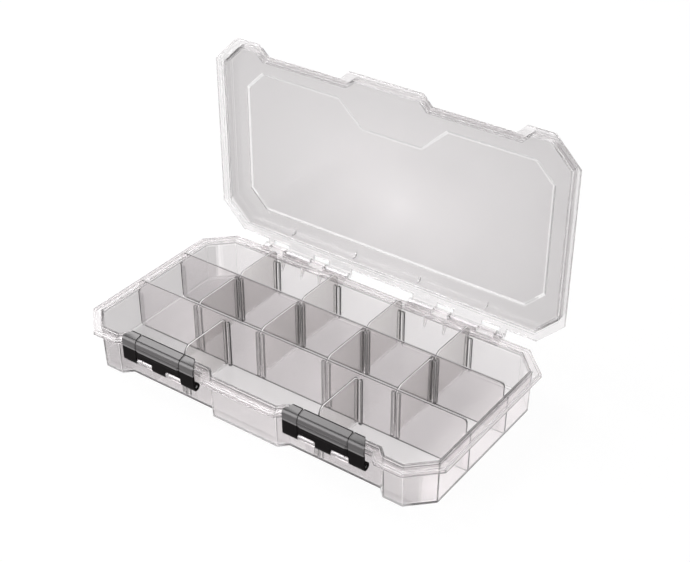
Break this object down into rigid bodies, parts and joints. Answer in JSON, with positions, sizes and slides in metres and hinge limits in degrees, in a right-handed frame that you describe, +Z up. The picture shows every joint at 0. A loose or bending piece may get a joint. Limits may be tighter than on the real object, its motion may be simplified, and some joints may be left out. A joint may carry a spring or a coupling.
{
  "type": "compartment storage box",
  "caption": "Shallow clear plastic organizer box with rows of lift-out dividers, a hinged lid standing open and two black front latches.",
  "frame": {"origin": "The middle of the tray's flat underside, between the front and back edges of its rim.", "axes": "+X runs along the box to the right as seen from the front, +Y runs from the latches to the hinge, +Z is up."},
  "size_m": [0.2768, 0.1655, 0.1813],
  "materials": {
    "clear_plastic": "clear moulded plastic with a faint grey tint",
    "black_plastic": "black moulded plastic, satin gloss",
    "steel": "plain drawn wire"
  },
  "bodies": {
    "tray": {"base_tray": "clear_plastic", "hinge_pin_left": "steel", "hinge_pin_right": "steel", "latch_pin_left": "steel", "latch_pin_right": "steel"},
    "lid": {"lid": "clear_plastic"},
    "latch_left": {"latch_left": "black_plastic"},
    "latch_right": {"latch_right": "black_plastic"},
    "divider_back_1": {"divider_back_1": "clear_plastic"},
    "divider_back_2": {"divider_back_2": "clear_plastic"},
    "divider_back_3": {"divider_back_3": "clear_plastic"},
    "divider_back_4": {"divider_back_4": "clear_plastic"},
    "divider_middle_1": {"divider_middle_1": "clear_plastic"},
    "divider_middle_2": {"divider_middle_2": "clear_plastic"},
    "divider_middle_3": {"divider_middle_3": "clear_plastic"},
    "divider_middle_4": {"divider_middle_4": "clear_plastic"},
    "divider_front_1": {"divider_front_1": "clear_plastic"},
    "divider_front_2": {"divider_front_2": "clear_plastic"}
  },
  "joints": [
    {"name": "lid_hinge", "type": "hinge", "parent": "tray", "child": "lid", "pos_m": [0, 0.07785, 0.0297], "axis": [-1, 0, 0], "range_deg": [-90, 0]},
    {"name": "latch_left_pivot", "type": "hinge", "parent": "tray", "child": "latch_left", "pos_m": [-0.0645, -0.07075, 0.0222], "axis": [1, 0, 0], "range_deg": [-9.5, 110]},
    {"name": "latch_right_pivot", "type": "hinge", "parent": "tray", "child": "latch_right", "pos_m": [0.0645, -0.07075, 0.0222], "axis": [1, 0, 0], "range_deg": [-9.5, 110]},
    {"name": "divider_back_1_lift", "type": "slide", "parent": "tray", "child": "divider_back_1", "axis": [0, 0, 1], "range_m": [0, 0.045]},
    {"name": "divider_back_2_lift", "type": "slide", "parent": "tray", "child": "divider_back_2", "axis": [0, 0, 1], "range_m": [0, 0.045]},
    {"name": "divider_back_3_lift", "type": "slide", "parent": "tray", "child": "divider_back_3", "axis": [0, 0, 1], "range_m": [0, 0.045]},
    {"name": "divider_back_4_lift", "type": "slide", "parent": "tray", "child": "divider_back_4", "axis": [0, 0, 1], "range_m": [0, 0.045]},
    {"name": "divider_middle_1_lift", "type": "slide", "parent": "tray", "child": "divider_middle_1", "axis": [0, 0, 1], "range_m": [0, 0.045]},
    {"name": "divider_middle_2_lift", "type": "slide", "parent": "tray", "child": "divider_middle_2", "axis": [0, 0, 1], "range_m": [0, 0.045]},
    {"name": "divider_middle_3_lift", "type": "slide", "parent": "tray", "child": "divider_middle_3", "axis": [0, 0, 1], "range_m": [0, 0.045]},
    {"name": "divider_middle_4_lift", "type": "slide", "parent": "tray", "child": "divider_middle_4", "axis": [0, 0, 1], "range_m": [0, 0.045]},
    {"name": "divider_front_1_lift", "type": "slide", "parent": "tray", "child": "divider_front_1", "axis": [0, 0, 1], "range_m": [0, 0.045]},
    {"name": "divider_front_2_lift", "type": "slide", "parent": "tray", "child": "divider_front_2", "axis": [0, 0, 1], "range_m": [0, 0.045]}
  ]
}
